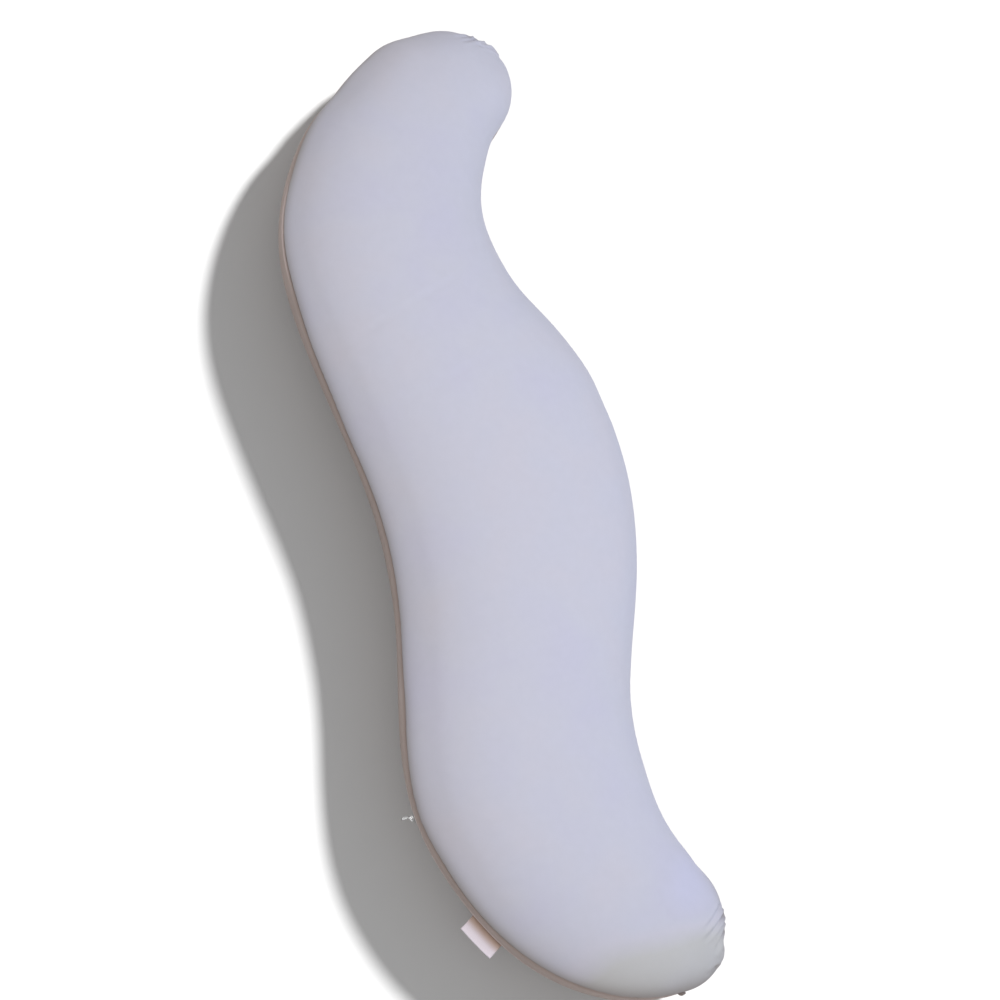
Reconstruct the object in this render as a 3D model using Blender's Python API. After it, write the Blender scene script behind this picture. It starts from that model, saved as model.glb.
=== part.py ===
"""Long curved body cushion, filled and sewn from two panels, lying on its underside.

The frame has +Z up, +Y along the cushion towards the end that curls more tightly, and its
origin under the middle of the cushion's bounding box, on the surface it lies on. Metres.
"""
from collections import namedtuple
from math import cos, pi, radians, sin

import bmesh
import bpy
import numpy as np
from mathutils import Vector
from mathutils.bvhtree import BVHTree

# Cross-sections from the tight end to the broad end: the middle of each, its turn about the
# upright in degrees, half its width and the height of its crown.
Section = namedtuple("Section", "x y turn half crown")
SECTIONS = (
    Section(0.180, 0.647, -82, 0.072, 0.135),
    Section(0.110, 0.634, -67, 0.089, 0.153),
    Section(0.010, 0.571, -40, 0.122, 0.172),
    Section(-0.061, 0.448, -15, 0.149, 0.186),
    Section(-0.062, 0.352, -8, 0.165, 0.192),
    Section(-0.032, 0.250, -5, 0.184, 0.197),
    Section(-0.003, 0.135, -6, 0.195, 0.200),
    Section(0.008, 0.020, -7, 0.191, 0.200),
    Section(-0.003, -0.090, -10, 0.181, 0.200),
    Section(-0.029, -0.196, -11, 0.171, 0.197),
    Section(-0.058, -0.345, -2, 0.169, 0.192),
    Section(-0.036, -0.478, 15, 0.157, 0.185),
    Section(0.030, -0.583, 31, 0.131, 0.172),
    Section(0.162, -0.673, 56, 0.080, 0.143),
)

# Gathers at the two ends: a trough in the top cloth between two places seen from above,
# deepest where it starts at the seam.
Crease = namedtuple("Crease", "from_x from_y to_x to_y depth")
CREASES = (
    Crease(0.132, 0.694, 0.094, 0.686, 0.0040),
    Crease(0.164, 0.676, 0.116, 0.668, 0.0050),
    Crease(0.182, 0.656, 0.134, 0.651, 0.0040),
    Crease(0.156, -0.592, 0.114, -0.624, 0.0040),
    Crease(0.172, -0.614, 0.111, -0.647, 0.0050),
    Crease(0.176, -0.642, 0.126, -0.664, 0.0045),
    Crease(0.152, -0.690, 0.116, -0.692, 0.0035),
)
CREASE_SPREAD = 0.004
CREASE_RISE = 0.004        # a gather reaches its full depth this far above the seam

# How the cushion is rounded
SECTION_ROUNDNESS = 2.3
END_ROUNDNESS = 2.3
TIGHT_END_REACH = 0.090
BROAD_END_REACH = 0.110
CROWN_REACH = 0.8          # the crown's share of an end's reach
WIDEST_AT = 0.45           # share of the crown's height at which a section is widest
SINK = 1.06                # the underside is rounder than it is deep, so it rests flat

# The seam between the panels
SEAM_ANGLE = 10            # degrees above the widest line
SEAM_DRAW = 0.0025
SEAM_DRAW_HEIGHT = 0.008
PANEL_THICKNESS = 0.002
GAP = 0.0003

# How finely the skin is divided
RINGS = 76
END_RINGS = 18
END_ZONE = 0.075
TOP_STEPS = 34
UNDERSIDE_STEPS = 14

# What is sewn on along the left flank: places are metres along the spine
FLANK_SEAM_HEIGHT = 0.057
LABEL_PLACE = 1.276
LABEL_TURN = 18            # degrees from its section's way out, so it stands square to the flank
LABEL_LENGTH = 0.058
LABEL_REACH = 0.0225
LABEL_THICKNESS = 0.0014
LABEL_DROOP = 0.003
TAPE_PLACE = 1.185
TAPE_LENGTH = 0.060
TAPE_HEIGHT = 0.012
TAPE_THICKNESS = 0.0012
SLIDER_PLACE = 1.172
SLIDER_LENGTH = 0.013
SLIDER_REACH = 0.0085
SLIDER_HEIGHT = 0.0075
SLIDER_TAPER = 0.2         # what is left of the reach at the slider's pointed end
SLIDER_EDGE = 0.0006
PULL_RUN = -0.004          # from the slider's middle towards its mouth
PULL_LENGTH = 0.011
PULL_WIDTH = 0.0056
PULL_THICKNESS = 0.0018
PULL_NECK = 0.45           # the neck's share of the tab's width
PULL_FLATNESS = 0.6
PULL_DROOP = 0.002
TUCK_PLACE = 1.523
TUCK_HEIGHT = 0.092
TUCK_SIZE = Vector((0.0035, 0.0055, 0.0038))
TUCK_PLEATS = 5
PLEAT_DEPTH = 0.18

UPWARD = Vector((0, 0, 1))
FAR_OUT = 0.5
PLACES = np.concatenate(([0.0], np.cumsum([
    np.hypot(b.x - a.x, b.y - a.y) for a, b in zip(SECTIONS, SECTIONS[1:])])))
LENGTH = PLACES[-1]


def clear_scene():
    for item in list(bpy.data.objects):
        bpy.data.objects.remove(item)


def spline_bends(values):
    """Second derivatives of the natural cubic spline through values at PLACES."""
    steps = np.diff(PLACES)
    slopes = np.diff(values) / steps
    matrix = np.eye(len(values))
    right = np.zeros(len(values))
    for i in range(1, len(values) - 1):
        matrix[i, i - 1:i + 2] = steps[i - 1], 2 * (steps[i - 1] + steps[i]), steps[i]
        right[i] = 6 * (slopes[i] - slopes[i - 1])
    return np.linalg.solve(matrix, right)


COLUMNS = [np.array(column) for column in zip(*SECTIONS)]
BENDS = [spline_bends(column) for column in COLUMNS]


def section_at(place):
    """The cross-section at a place along the spine, on smooth curves through the table."""
    i = int(np.clip(np.searchsorted(PLACES, place) - 1, 0, len(PLACES) - 2))
    step = PLACES[i + 1] - PLACES[i]
    t = place - PLACES[i]
    numbers = []
    for values, bends in zip(COLUMNS, BENDS):
        slope = (values[i + 1] - values[i]) / step - step * (2 * bends[i] + bends[i + 1]) / 6
        rise = bends[i] / 2 + t * (bends[i + 1] - bends[i]) / (6 * step)
        numbers.append(values[i] + t * slope + t * t * rise)
    return Section(*numbers)


def across_direction(section):
    """Level direction from a section's left flank to its right flank."""
    return Vector((cos(radians(section.turn)), sin(radians(section.turn)), 0))


def end_rounding(place, inset, share, roundness):
    """1 along the body, falling to 0 at each tip on a rounded curve."""
    result = 1.0
    for distance, reach in ((place, TIGHT_END_REACH), (LENGTH - place, BROAD_END_REACH)):
        left = (distance - inset) / (reach * share - inset)
        fall = 1 - min(max(left, 0.0), 1.0)
        result *= (1 - fall ** roundness) ** (1 / roundness)
    return result


def signed_power(value, power):
    return abs(value) ** power * (1 if value >= 0 else -1)


def seam_height(section):
    """Height of the seam, a little above the section's widest line."""
    widest = WIDEST_AT * section.crown
    return widest + (section.crown - widest) * sin(radians(SEAM_ANGLE)) ** (2 / SECTION_ROUNDNESS)


def skin_point(along, angle, inset=0.0):
    """A point of the cushion's skin, or of the same form made smaller by inset.

    along runs from 0 at the tight tip to 1 at the broad tip; angle is in degrees round the
    section, from 0 at the right over the crown to 180 at the left.
    """
    place = inset + along * (LENGTH - 2 * inset)
    section = section_at(place)
    across = signed_power(cos(radians(angle)), 2 / SECTION_ROUNDNESS)
    up = signed_power(sin(radians(angle)), 2 / SECTION_ROUNDNESS)
    widest = WIDEST_AT * section.crown
    seam = seam_height(section)
    reach = section.crown - widest if up > 0 else widest * SINK - inset
    height = max(widest + up * reach, inset)
    lowering = end_rounding(place, inset, CROWN_REACH, 2.0)
    height = seam + (height - seam) * lowering
    draw = SEAM_DRAW * np.exp(-((height - seam) / SEAM_DRAW_HEIGHT) ** 2)
    narrowing = end_rounding(place, inset, 1.0, END_ROUNDNESS)
    half = (section.half - inset - draw) * narrowing
    middle = Vector((section.x, section.y, height))
    return middle + across_direction(section) * (half * across)


def crease_depth(point):
    """How deep the gathers are at a point seen from above."""
    depth = 0.0
    for crease in CREASES:
        start = Vector((crease.from_x, crease.from_y))
        run = Vector((crease.to_x, crease.to_y)) - start
        share = min(max((point.xy - start).dot(run) / run.length_squared, 0.0), 1.0)
        distance = (point.xy - start - run * share).length
        depth += crease.depth * (1 - share) ** 0.5 * np.exp(-(distance / CREASE_SPREAD) ** 2)
    return depth


def ring_share(index):
    """Share of the length at a ring: close at the tips, where the skin turns and gathers."""
    from_tip = min(index, RINGS - index)
    if from_tip < END_RINGS:
        share = END_ZONE / LENGTH * (1 - cos(pi / 2 * from_tip / END_RINGS))
    else:
        body = (from_tip - END_RINGS) / (RINGS - 2 * END_RINGS)
        share = END_ZONE / LENGTH + body * (1 - 2 * END_ZONE / LENGTH)
    return share if index <= RINGS / 2 else 1 - share


def add_shell(bm, first_angle, last_angle, steps, inset=0.0, drop=0.0, creased=False):
    """Adds a stretch of skin between two section angles, closed to a point at each tip."""
    grid = bmesh.ops.create_grid(bm, x_segments=RINGS, y_segments=steps, size=0.5)
    depths = {}
    for vert in grid["verts"]:
        along = ring_share(round((vert.co.x + 0.5) * RINGS))
        share = vert.co.y + 0.5
        on_seam = share < 0.001 or share > 0.999 or along in (0, 1)
        angle = first_angle + (last_angle - first_angle) * share
        vert.co = skin_point(along, angle, inset)
        if on_seam:
            vert.co.z -= drop
        elif creased:
            rise = vert.co.z - seam_height(section_at(along * LENGTH))
            depths[vert] = crease_depth(vert.co) * min(rise / CREASE_RISE, 1)
    bm.normal_update()
    for vert, depth in depths.items():
        vert.co += vert.normal * depth    # this grid still faces the filling
    bmesh.ops.remove_doubles(bm, verts=bm.verts, dist=1e-5)


def close_rim(bm):
    """Joins the open rims of two shells and turns every face outwards."""
    rims = [edge for edge in bm.edges if edge.is_boundary]
    bmesh.ops.bridge_loops(bm, edges=rims)
    bmesh.ops.recalc_face_normals(bm, faces=bm.faces)


def make_material(name, colour, roughness, metallic=0.0):
    material = bpy.data.materials.new(name)
    material.use_nodes = True
    shader = material.node_tree.nodes["Principled BSDF"]
    shader.inputs["Base Color"].default_value = (*colour, 1)
    shader.inputs["Roughness"].default_value = roughness
    shader.inputs["Metallic"].default_value = metallic
    return material


def make_object(name, bm, material):
    mesh = bpy.data.meshes.new(name)
    bm.to_mesh(mesh)
    bm.free()
    mesh.shade_smooth()
    mesh.materials.append(material)
    item = bpy.data.objects.new(name, mesh)
    bpy.context.scene.collection.objects.link(item)
    return item


def make_pillow(cloth):
    """The filled body: top cloth down to the seam, and below it the filling's rounded form."""
    bm = bmesh.new()
    add_shell(bm, SEAM_ANGLE, 180 - SEAM_ANGLE, TOP_STEPS, creased=True)
    add_shell(bm, SEAM_ANGLE, -180 - SEAM_ANGLE, UNDERSIDE_STEPS, inset=PANEL_THICKNESS + GAP)
    close_rim(bm)
    return make_object("pillow", bm, cloth)


def make_underside_panel(cloth):
    """The lower cloth, from just under the seam round the underside."""
    bm = bmesh.new()
    add_shell(bm, SEAM_ANGLE, -180 - SEAM_ANGLE, UNDERSIDE_STEPS, drop=GAP)
    add_shell(bm, SEAM_ANGLE, -180 - SEAM_ANGLE, UNDERSIDE_STEPS, inset=PANEL_THICKNESS, drop=GAP)
    close_rim(bm)
    return make_object("underside_panel", bm, cloth)


def surface_tree(item):
    bm = bmesh.new()
    bm.from_mesh(item.data)
    tree = BVHTree.FromBMesh(bm)
    bm.free()
    return tree


def flank_frame(place, turn=0):
    """The spine's point at a place, and the level ways out of and along the left flank there.

    turn is in degrees, added to that of the section.
    """
    section = section_at(place)
    outward = -across_direction(section._replace(turn=section.turn + turn))
    return Vector((section.x, section.y, 0)), outward, UPWARD.cross(outward)


def flank_hit(tree, place, run, height, turn=0):
    """Point and normal where a level line, run metres past the place, meets the left flank."""
    middle, outward, forward = flank_frame(place, turn)
    start = middle + outward * FAR_OUT + forward * run + UPWARD * height
    return tree.ray_cast(start, -outward)[:2]


def seat_frame(tree, place, run, height):
    """A seat on the left flank, with its way out, its way along the flank and its way up."""
    seat, outward = flank_hit(tree, place, run, height)
    forward = UPWARD.cross(outward).normalized()
    return seat, outward, forward, outward.cross(forward)


def make_label(tree, tape):
    """Folded label, sewn in along the flank and lying a little below level."""
    bm = bmesh.new()
    outward = flank_frame(LABEL_PLACE, LABEL_TURN)[1]
    grid = bmesh.ops.create_grid(bm, x_segments=12, y_segments=6, size=0.5)
    for vert in grid["verts"]:
        share = vert.co.y + 0.5
        run = LABEL_LENGTH * vert.co.x
        seat = flank_hit(tree, LABEL_PLACE, run, FLANK_SEAM_HEIGHT, LABEL_TURN)[0]
        reach = outward * (2 * GAP + LABEL_REACH * share)
        vert.co = seat + reach - UPWARD * (LABEL_DROOP * share ** 2)
    bmesh.ops.solidify(bm, geom=bm.faces[:], thickness=LABEL_THICKNESS)
    bmesh.ops.recalc_face_normals(bm, faces=bm.faces)
    return make_object("label", bm, tape)


def make_zip_tape(tree, cloth):
    """Short stretch of zip that shows, lying on the flank."""
    bm = bmesh.new()
    outward = flank_frame(TAPE_PLACE)[1]
    for lift in (2 * GAP, 2 * GAP + TAPE_THICKNESS):
        grid = bmesh.ops.create_grid(bm, x_segments=14, y_segments=4, size=0.5)
        for vert in grid["verts"]:
            height = FLANK_SEAM_HEIGHT + TAPE_HEIGHT * vert.co.y
            seat = flank_hit(tree, TAPE_PLACE, TAPE_LENGTH * vert.co.x, height)[0]
            vert.co = seat + outward * lift
    close_rim(bm)
    return make_object("zip_tape", bm, cloth)


def make_slider(tape_tree, metal):
    """Slider body: a wedge, deep at its mouth and pointed at its tail."""
    seat, outward, forward, upward = seat_frame(tape_tree, SLIDER_PLACE, 0, FLANK_SEAM_HEIGHT)
    bm = bmesh.new()
    cube = bmesh.ops.create_cube(bm, size=1)
    for vert in cube["verts"]:
        deep, run, rise = vert.co
        reach = SLIDER_REACH * (1 if run < 0 else SLIDER_TAPER)
        vert.co = (seat + outward * (2 * GAP + reach * (deep + 0.5))
                   + forward * (SLIDER_LENGTH * run) + upward * (SLIDER_HEIGHT * rise))
    bmesh.ops.bevel(bm, geom=bm.edges[:], offset=SLIDER_EDGE, segments=2, profile=0.5,
                    affect="EDGES")
    return make_object("zip_slider", bm, metal)


def make_pull(slider_tree, metal):
    """Pull tab: a flat drop, narrow where it leaves the slider."""
    seat = flank_hit(slider_tree, SLIDER_PLACE, PULL_RUN, FLANK_SEAM_HEIGHT)[0]
    outward, forward = flank_frame(SLIDER_PLACE)[1:]
    bm = bmesh.new()
    ball = bmesh.ops.create_uvsphere(bm, u_segments=16, v_segments=8, radius=1)
    for vert in ball["verts"]:
        share = (vert.co.x + 1) / 2
        half_width = PULL_WIDTH / 2 * (PULL_NECK + (1 - PULL_NECK) * share)
        rise = PULL_THICKNESS / 2 * signed_power(vert.co.z, PULL_FLATNESS)
        vert.co = (seat + outward * (3 * GAP + PULL_LENGTH * share)
                   + forward * (half_width * vert.co.y)
                   + UPWARD * (rise - PULL_DROOP * share ** 2))
    return make_object("zip_pull", bm, metal)


def make_seam_tuck(pillow_tree, cloth):
    """Small bunched end of cloth where the seam is closed at the broad end."""
    seat, outward, forward, upward = seat_frame(pillow_tree, TUCK_PLACE, 0, TUCK_HEIGHT)
    bm = bmesh.new()
    ball = bmesh.ops.create_uvsphere(bm, u_segments=20, v_segments=10, radius=1)
    for vert in ball["verts"]:
        turn = np.arctan2(vert.co.z, vert.co.y)
        pleat = 1 + PLEAT_DEPTH * sin(TUCK_PLEATS * turn) * abs(vert.co.x)
        deep, run, rise = vert.co * pleat
        vert.co = (seat + outward * (3 * GAP + TUCK_SIZE.x * (deep + 1))
                   + forward * (TUCK_SIZE.y * run) + upward * (TUCK_SIZE.z * rise))
    return make_object("seam_tuck", bm, cloth)


def rest_on_origin(items):
    """Moves the whole object so that the origin is under the middle of its bounding box."""
    corners = [vert.co for item in items for vert in item.data.vertices]
    low = [min(corner[axis] for corner in corners) for axis in range(3)]
    high = [max(corner[axis] for corner in corners) for axis in range(3)]
    shift = Vector((-(low[0] + high[0]) / 2, -(low[1] + high[1]) / 2, -low[2]))
    for item in items:
        item.location = shift


def build():
    clear_scene()
    top_cloth = make_material("top_cloth", (0.58, 0.60, 0.72), 0.8)
    underside_cloth = make_material("underside_cloth", (0.62, 0.47, 0.42), 0.85)
    label_tape = make_material("label_tape", (0.80, 0.76, 0.84), 0.75)
    zip_cloth = make_material("zip_cloth", (0.45, 0.36, 0.34), 0.8)
    zip_metal = make_material("zip_metal", (0.72, 0.72, 0.72), 0.35, 0.8)

    pillow = make_pillow(top_cloth)
    panel = make_underside_panel(underside_cloth)
    panel_tree = surface_tree(panel)
    label = make_label(panel_tree, label_tape)
    tape = make_zip_tape(panel_tree, zip_cloth)
    slider = make_slider(surface_tree(tape), zip_metal)
    pull = make_pull(surface_tree(slider), zip_metal)
    tuck = make_seam_tuck(surface_tree(pillow), underside_cloth)
    rest_on_origin([pillow, panel, label, tape, slider, pull, tuck])


build()
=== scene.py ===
# Long curved body cushion: its cloth, seams, label and zip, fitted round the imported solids
import math
from collections import namedtuple

import bmesh
import bpy
import numpy as np
from mathutils import Matrix, Vector
from mathutils.bvhtree import BVHTree


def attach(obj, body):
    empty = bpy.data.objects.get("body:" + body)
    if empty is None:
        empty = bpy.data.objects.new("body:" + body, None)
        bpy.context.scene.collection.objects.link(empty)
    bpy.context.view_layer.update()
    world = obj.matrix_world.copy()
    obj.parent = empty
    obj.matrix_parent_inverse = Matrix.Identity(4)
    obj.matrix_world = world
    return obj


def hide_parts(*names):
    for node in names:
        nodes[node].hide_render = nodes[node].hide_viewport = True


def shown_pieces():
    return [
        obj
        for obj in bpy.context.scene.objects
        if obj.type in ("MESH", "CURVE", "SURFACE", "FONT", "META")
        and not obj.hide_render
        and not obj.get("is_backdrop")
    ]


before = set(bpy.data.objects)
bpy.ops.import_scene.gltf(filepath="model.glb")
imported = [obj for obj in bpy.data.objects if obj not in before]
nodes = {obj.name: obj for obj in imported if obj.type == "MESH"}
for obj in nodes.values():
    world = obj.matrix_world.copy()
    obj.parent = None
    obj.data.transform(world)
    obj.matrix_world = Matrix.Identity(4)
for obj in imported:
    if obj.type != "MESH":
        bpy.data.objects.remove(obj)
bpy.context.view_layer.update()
print("frame loaded")


# The cushion's own form: the same sections that its solid was lofted through

Section = namedtuple("Section", "x y turn half crown")  # metres, turn in degrees
sections = (  # from the tight end to the broad end
    Section(0.180, 0.647, -82, 0.072, 0.135),
    Section(0.110, 0.634, -67, 0.089, 0.153),
    Section(0.010, 0.571, -40, 0.122, 0.172),
    Section(-0.061, 0.448, -15, 0.149, 0.186),
    Section(-0.062, 0.352, -8, 0.165, 0.192),
    Section(-0.032, 0.250, -5, 0.184, 0.197),
    Section(-0.003, 0.135, -6, 0.195, 0.200),
    Section(0.008, 0.020, -7, 0.191, 0.200),
    Section(-0.003, -0.090, -10, 0.181, 0.200),
    Section(-0.029, -0.196, -11, 0.171, 0.197),
    Section(-0.058, -0.345, -2, 0.169, 0.192),
    Section(-0.036, -0.478, 15, 0.157, 0.185),
    Section(0.030, -0.583, 31, 0.131, 0.172),
    Section(0.162, -0.673, 56, 0.080, 0.143),
)

form = {
    "middle": Vector((0.02155, 0.0012, 0.0)),  # from the sections' own origin to the frame's
    "roundness": 2.3,         # 2 is an ellipse, more is squarer
    "tightReach": 0.090,      # how long each end takes to round off
    "broadReach": 0.110,
    "crownReach": 0.8,        # the crown's share of an end's reach
    "widestAt": 0.45,         # share of the crown's height
    "sink": 1.06,             # presses the underside flat where it lies
    "seamAngle": 10,          # degrees above the widest line, on the right flank and at both tips
    "seamDraw": 0.0025,
    "seamDrawHeight": 0.008,
    "seamSmoothing": 16,
}

SeamMark = namedtuple("SeamMark", "place angle")  # metres along, degrees above the widest line
leftSeam = (  # the left flank's seam rises and dips on its way
    SeamMark(0.00, 10), SeamMark(0.10, 6), SeamMark(0.16, 2), SeamMark(0.20, 1),
    SeamMark(0.24, 3), SeamMark(0.28, 6), SeamMark(0.32, 4), SeamMark(0.36, 3),
    SeamMark(0.42, 5.8), SeamMark(0.46, 6), SeamMark(0.52, 3.4), SeamMark(0.60, 2.6),
    SeamMark(0.66, 1), SeamMark(0.74, 2.8), SeamMark(0.82, 3.4), SeamMark(0.90, 2),
    SeamMark(0.98, 1.2), SeamMark(1.06, 4.6), SeamMark(1.12, 2.2), SeamMark(1.18, -1),
    SeamMark(1.22, 5), SeamMark(1.28, 8), SeamMark(1.34, 10), SeamMark(1.40, 12),
    SeamMark(1.44, 14), SeamMark(1.48, 17), SeamMark(1.51, 16), SeamMark(1.54, 12),
    SeamMark(1.558, 10),
)

mesh = {
    "rings": 430,             # along the cushion
    "endRings": 78,           # of them, at each end
    "endZone": 0.115,         # metres
    "topSteps": 132,          # round the top cloth
    "lowerSteps": 72,         # round the underside cloth
    "seamCrowding": 0.72,     # 0 is even, 1 crowds all rows at the seam
    "hiddenStride": 6,        # only every so many rows where no one sees
}

places = np.concatenate(([0.0], np.cumsum([
    math.hypot(b.x - a.x, b.y - a.y) for a, b in zip(sections, sections[1:])])))
length = places[-1]


def splineBends(values):  # second derivatives of the natural cubic spline through values
    steps = np.diff(places)
    slopes = np.diff(values) / steps
    matrix = np.eye(len(values))
    right = np.zeros(len(values))
    for i in range(1, len(values) - 1):
        matrix[i, i - 1:i + 2] = steps[i - 1], 2 * (steps[i - 1] + steps[i]), steps[i]
        right[i] = 6 * (slopes[i] - slopes[i - 1])
    return np.linalg.solve(matrix, right)


columns = [np.array(column, float) for column in zip(*sections)]
bends = [splineBends(column) for column in columns]


def sectionAt(place):  # place may be a number or an array of them
    place = np.asarray(place, float)
    i = np.clip(np.searchsorted(places, place) - 1, 0, len(places) - 2)
    step = places[i + 1] - places[i]
    t = place - places[i]
    found = []
    for values, bend in zip(columns, bends):
        slope = (values[i + 1] - values[i]) / step - step * (2 * bend[i] + bend[i + 1]) / 6
        rise = bend[i] / 2 + t * (bend[i + 1] - bend[i]) / (6 * step)
        found.append(values[i] + t * slope + t * t * rise)
    return Section(*found)


def signedPower(value, power):
    return np.abs(value) ** power * np.sign(value)


def endRounding(place, share, roundness):  # 1 along the body, 0 at each tip
    result = 1.0
    for distance, reach in ((place, form["tightReach"]), (length - place, form["broadReach"])):
        fall = 1 - np.clip(distance / (reach * share), 0, 1)
        result = result * (1 - fall ** roundness) ** (1 / roundness)
    return result


def seamHeight(section, angle):
    widest = form["widestAt"] * section.crown
    rise = signedPower(np.sin(np.radians(angle)), 2 / form["roundness"])
    return widest + (section.crown - widest) * rise


def leftSeamAngles(place):
    marks = SeamMark(*zip(*leftSeam))
    found = np.interp(place, marks.place, marks.angle)
    for _ in range(form["seamSmoothing"]):
        found[1:-1] = (found[:-2] + 2 * found[1:-1] + found[2:]) / 4
    return found


def skinPoints(place, angle):  # rings x steps x 3, angle in degrees from the right over the crown
    section = sectionAt(place)
    section = Section(*(value[:, None] for value in section))
    power = 2 / form["roundness"]
    across = signedPower(np.cos(np.radians(angle)), power)
    up = signedPower(np.sin(np.radians(angle)), power)
    widest = form["widestAt"] * section.crown
    seam = seamHeight(section, form["seamAngle"])
    reach = np.where(up > 0, section.crown - widest, widest * form["sink"])
    height = np.maximum(widest + up * reach, 0)
    flat = endRounding(place, form["crownReach"], 2.0)[:, None]
    height = seam + (height - seam) * flat
    leftHeight = seam + (seamHeight(section, leftSeamAngles(place)[:, None]) - seam) * flat
    away = height - np.where(across < 0, leftHeight, seam)
    draw = form["seamDraw"] * np.exp(-(away / form["seamDrawHeight"]) ** 2)
    half = (section.half - draw) * endRounding(place, 1.0, form["roundness"])[:, None]
    turn = np.radians(section.turn)
    x = section.x + np.cos(turn) * half * across
    y = section.y + np.sin(turn) * half * across
    return np.stack([x, y, height], -1) + np.array(form["middle"])


def ringPlaces():  # close together at the tips, where the cloth turns and gathers
    rings, zone, crowd = mesh["rings"], mesh["endZone"], mesh["endRings"]
    tip = zone * (1 - np.cos(np.linspace(0, math.pi / 2, crowd + 1)))
    body = np.linspace(zone, length - zone, rings - 2 * crowd + 1)
    return np.concatenate((tip[:-1], body, length - tip[:-1][::-1]))


def stepAngles(place):  # rings x steps, from the right seam over the crown, crowded at both seams
    def crowded(steps):
        share = np.linspace(0, 1, steps + 1)[:-1]
        return share - mesh["seamCrowding"] * np.sin(2 * math.pi * share) / (2 * math.pi)
    right = form["seamAngle"]
    left = leftSeamAngles(place)[:, None]
    over = right + (180 - right - left) * crowded(mesh["topSteps"])
    under = 180 - left + (180 + right + left) * crowded(mesh["lowerSteps"])
    return np.concatenate((over, under), 1)


def outwardNormals(points):  # of a closed grid: rings x steps round
    along = np.gradient(points, axis=0)
    around = (np.roll(points, -1, 1) - np.roll(points, 1, 1)) / 2
    normals = np.cross(around, along)
    size = np.linalg.norm(normals, axis=2, keepdims=True)
    normals = normals / np.maximum(size, 1e-12)
    for tip, near in ((0, 1), (-1, -2)):
        mean = normals[near].mean(0)
        normals[tip] = mean / np.linalg.norm(mean)
    return normals


def seamDistances(points):  # how far each point is from its nearer seam, along the cloth
    steps = np.linalg.norm(np.roll(points, -1, 1) - points, axis=2)
    top, both = mesh["topSteps"], points.shape[1]
    result = np.zeros(points.shape[:2])
    for first, last in ((0, top), (top, both)):
        run = np.concatenate((np.zeros((len(points), 1)), np.cumsum(steps[:, first:last], 1)), 1)
        near = np.minimum(run, run[:, -1:] - run)
        result[:, first:last] = near[:, :-1]
    return result


def clothRuns(points, first, last):  # metres across the cloth from its middle, for its UV map
    wrapped = np.concatenate((points, points[:, :1]), 1)[:, first:last + 1]
    steps = np.linalg.norm(np.diff(wrapped, axis=1), axis=2)
    run = np.concatenate((np.zeros((len(points), 1)), np.cumsum(steps, 1)), 1)
    return run - run[:, -1:] / 2


# Simulated filling: the cushion's solid, swollen under pressure inside its cloth

filling = {
    "weld": 0.00001,
    "start": 0.004,           # how much smaller it begins
    "voxel": 0.006,
    "quality": 5,
    "mass": 0.3,
    "pressure": 4.0,
    "stiffness": 22.0,
    "bending": 0.6,
    "frames": 20,
    "cap": 0.010,             # the furthest that a point may swell
    "follows": 0.0012,        # how far the cloth may leave its drawn form to follow it
    "probe": 0.035,
    "softening": 60,          # rounds of blur, which take the voxels out
}


def finishedObject(name, bm, material, smooth=True):
    data = bpy.data.meshes.new(name)
    bm.to_mesh(data)
    bm.free()
    if smooth:
        data.shade_smooth()
    data.materials.append(material)
    item = bpy.data.objects.new(name, data)
    bpy.context.scene.collection.objects.link(item)
    return item


def evaluatedMesh(item):
    graph = bpy.context.evaluated_depsgraph_get()
    return bpy.data.meshes.new_from_object(item.evaluated_get(graph))


def treeOf(item):
    bm = bmesh.new()
    bm.from_mesh(item.data)
    tree = BVHTree.FromBMesh(bm)
    bm.free()
    return tree


def swollenFilling():
    bm = bmesh.new()
    bm.from_mesh(nodes["pillow"].data)
    bmesh.ops.remove_doubles(bm, verts=bm.verts, dist=filling["weld"])
    bm.normal_update()
    for vert in bm.verts:
        vert.co -= vert.normal * filling["start"]
    item = finishedObject("filling", bm, None, smooth=False)
    remesh = item.modifiers.new("Remesh", "REMESH")
    remesh.mode = "VOXEL"
    remesh.voxel_size = filling["voxel"]
    item.data = evaluatedMesh(item)
    item.modifiers.clear()
    start = [vert.co.copy() for vert in item.data.vertices]

    cloth = item.modifiers.new("Cloth", "CLOTH")
    cloth.settings.quality = filling["quality"]
    cloth.settings.mass = filling["mass"]
    cloth.settings.tension_stiffness = filling["stiffness"]
    cloth.settings.compression_stiffness = filling["stiffness"]
    cloth.settings.bending_stiffness = filling["bending"]
    cloth.settings.use_pressure = True
    cloth.settings.uniform_pressure_force = filling["pressure"]
    cloth.settings.effector_weights.gravity = 0
    cloth.collision_settings.use_collision = False
    cloth.point_cache.frame_start = 1
    cloth.point_cache.frame_end = filling["frames"]
    for number in range(1, filling["frames"] + 1):
        bpy.context.scene.frame_set(number)
    swollen = evaluatedMesh(item)
    item.modifiers.clear()
    item.data = swollen
    for vert, at in zip(swollen.vertices, start):
        move = vert.co - at
        if move.length > filling["cap"]:
            vert.co = at + move * (filling["cap"] / move.length)
    bpy.context.scene.frame_set(1)
    tree = treeOf(item)
    bpy.data.objects.remove(item)
    return tree


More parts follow.
